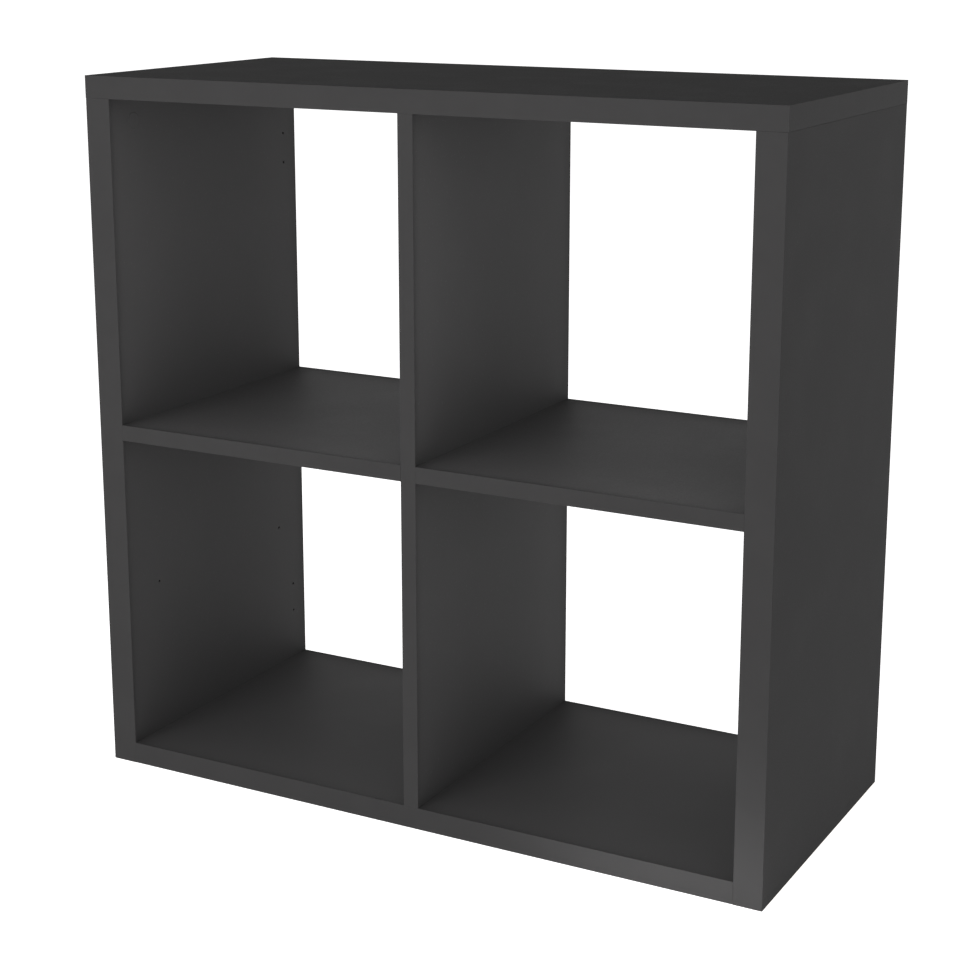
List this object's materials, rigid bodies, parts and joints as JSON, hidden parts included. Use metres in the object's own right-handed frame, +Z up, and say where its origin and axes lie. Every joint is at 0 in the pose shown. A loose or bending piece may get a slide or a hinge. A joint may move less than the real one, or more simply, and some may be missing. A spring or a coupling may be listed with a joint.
{
  "type": "cube storage unit",
  "caption": "Open cube storage unit of dark melamine board: square compartments right through, thick sides, overlapping top, slim divider and shelves, cam and dowel joints.",
  "frame": {"origin": "on the floor, under the middle of the unit's width and depth", "axes": "+X to the right seen from the front (the width), +Y from front to back (the depth), +Z up"},
  "size_m": [0.72, 0.32, 0.708],
  "materials": {
    "melamine_board": "particle board faced with matt anthracite melamine, fine pearl texture",
    "edge_band": "matt anthracite edge band",
    "zinc_steel": "bright zinc-plated steel",
    "zinc_casting": "plain zinc die casting, dull",
    "cap_plastic": "matt moulded plastic in the board's colour",
    "beech_dowel": "plain beech, fluted",
    "bracket_steel": "black powder-coated steel strip"
  },
  "bodies": {
    "root": {"top_panel": "melamine_board", "bottom_panel": "melamine_board", "left_side_panel": "melamine_board", "right_side_panel": "melamine_board", "centre_divider": "melamine_board", "left_shelf": "melamine_board", "right_shelf": "melamine_board", "top_front_band": "edge_band", "top_back_band": "edge_band", "bottom_front_band": "edge_band", "bottom_back_band": "edge_band", "left_side_front_band": "edge_band", "left_side_back_band": "edge_band", "right_side_front_band": "edge_band", "right_side_back_band": "edge_band", "divider_front_band": "edge_band", "divider_back_band": "edge_band", "left_shelf_front_band": "edge_band", "left_shelf_back_band": "edge_band", "right_shelf_front_band": "edge_band", "right_shelf_back_band": "edge_band", "top_left_band": "edge_band", "top_right_band": "edge_band", "top_cam_bolts": "zinc_steel", "divider_base_bolts": "zinc_steel", "bottom_cam_bolts": "zinc_steel", "shelf_cam_bolts": "zinc_steel", "shelf_double_bolts": "zinc_steel", "left_side_cams": "zinc_casting", "right_side_cams": "zinc_casting", "divider_cams": "zinc_casting", "bottom_panel_cams": "zinc_casting", "left_shelf_cams": "zinc_casting", "right_shelf_cams": "zinc_casting", "left_side_cam_caps": "cap_plastic", "right_side_cam_caps": "cap_plastic", "divider_cam_caps": "cap_plastic", "left_shelf_cam_caps": "cap_plastic", "right_shelf_cam_caps": "cap_plastic", "top_dowels": "beech_dowel", "divider_base_dowels": "beech_dowel", "bottom_dowels": "beech_dowel", "shelf_side_dowels": "beech_dowel", "shelf_through_dowels": "beech_dowel", "left_wall_bracket": "bracket_steel", "right_wall_bracket": "bracket_steel", "bracket_screws": "zinc_steel"}
  },
  "joints": []
}
